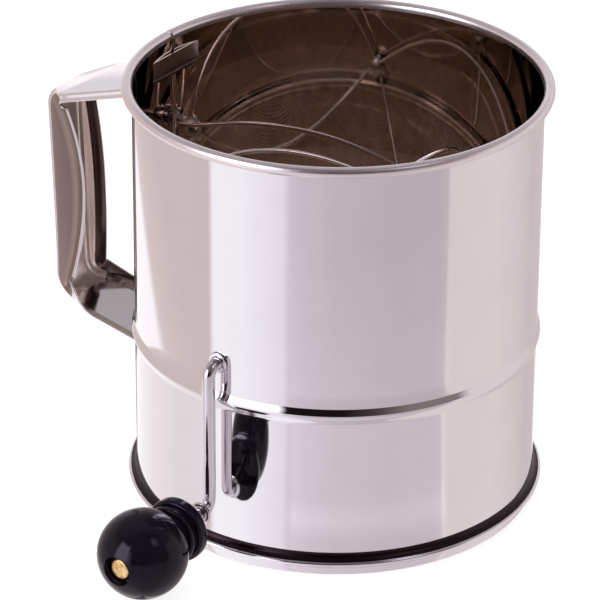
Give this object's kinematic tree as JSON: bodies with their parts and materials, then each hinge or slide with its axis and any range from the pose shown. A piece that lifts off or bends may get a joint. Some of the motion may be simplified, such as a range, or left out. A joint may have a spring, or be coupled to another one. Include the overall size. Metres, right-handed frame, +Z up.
{
  "type": "flour sifter",
  "caption": "Round steel flour sifter with a strap handle and a side crank that turns wire hoops over a mesh bowl.",
  "frame": {"origin": "bottom centre of the whole object's box, on the surface it stands on; the can's own axis is at x 25.81 mm, y 30.09 mm", "axes": "+Z up along the can, -X towards the handle, -Y towards the crank and its knob"},
  "size_m": [0.215, 0.2236, 0.17],
  "materials": {
    "polished_steel": "mirror-polished stainless steel sheet",
    "wire_steel": "bright drawn steel wire",
    "mesh_steel": "fine woven stainless wire mesh",
    "brass": "plain brass",
    "black_plastic": "glossy black moulded plastic"
  },
  "bodies": {
    "can": {"body_shell": "polished_steel", "base_ring": "polished_steel", "handle": "polished_steel", "screen_mesh": "mesh_steel", "screen_band": "polished_steel", "screen_clamp": "polished_steel", "crank_eyelet": "polished_steel", "pivot_eyelet": "polished_steel"},
    "crank": {"crank_rod": "wire_steel", "crank_ferrule": "wire_steel", "pivot_ferrule": "wire_steel", "pivot_pin": "wire_steel", "agitator_wire_1": "wire_steel", "agitator_wire_2": "wire_steel", "agitator_wire_3": "wire_steel", "agitator_wire_4": "wire_steel", "spindle_stop": "wire_steel", "spindle_washer": "wire_steel", "spindle_cap": "brass"},
    "knob_body": {"knob": "black_plastic"}
  },
  "joints": [
    {"name": "crank", "type": "hinge", "parent": "can", "child": "crank", "pos_m": [0.02581, -0.04791, 0.083], "axis": [0, -1, 0], "continuous": true},
    {"name": "knob", "type": "hinge", "parent": "crank", "child": "knob_body", "pos_m": [0.02581, -0.09571, 0.024], "axis": [0, -1, 0], "continuous": true}
  ]
}
